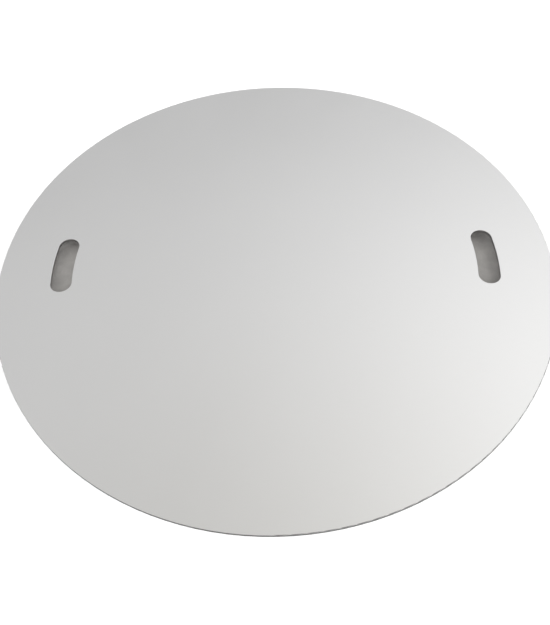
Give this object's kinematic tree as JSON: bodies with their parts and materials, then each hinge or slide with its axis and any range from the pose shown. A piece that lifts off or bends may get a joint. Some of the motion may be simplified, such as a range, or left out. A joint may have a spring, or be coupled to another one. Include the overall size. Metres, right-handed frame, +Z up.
{
  "type": "round cover plate",
  "caption": "Round flat stainless cover plate with two curved hand slots, recessed grip pans under them and a locating ring on the underside.",
  "frame": {"origin": "centre of the foot of the locating ring, on the surface the cover is set down on", "axes": "+Z up, out of the smooth top face; X runs through the two hand slots"},
  "size_m": [0.6599, 0.66, 0.034],
  "materials": {
    "plate_steel": "fine satin, almost without visible grain",
    "ring_steel": "mill-finish flat bar",
    "pan_steel": "drawn sheet, dull satin",
    "fastener_steel": "plain stainless hardware",
    "weld_metal": "brushed weld bead with faint heat tint",
    "gasket_rubber": "matte flat rubber sheet"
  },
  "bodies": {
    "root": {"cover_plate": "plate_steel", "locating_ring": "ring_steel", "ring_weld_beads": "weld_metal", "left_grip_pan": "pan_steel", "right_grip_pan": "pan_steel", "left_pan_gasket": "gasket_rubber", "right_pan_gasket": "gasket_rubber", "left_pan_studs": "fastener_steel", "right_pan_studs": "fastener_steel", "left_pan_washers": "fastener_steel", "right_pan_washers": "fastener_steel", "left_pan_nuts": "fastener_steel", "right_pan_nuts": "fastener_steel"}
  },
  "joints": []
}
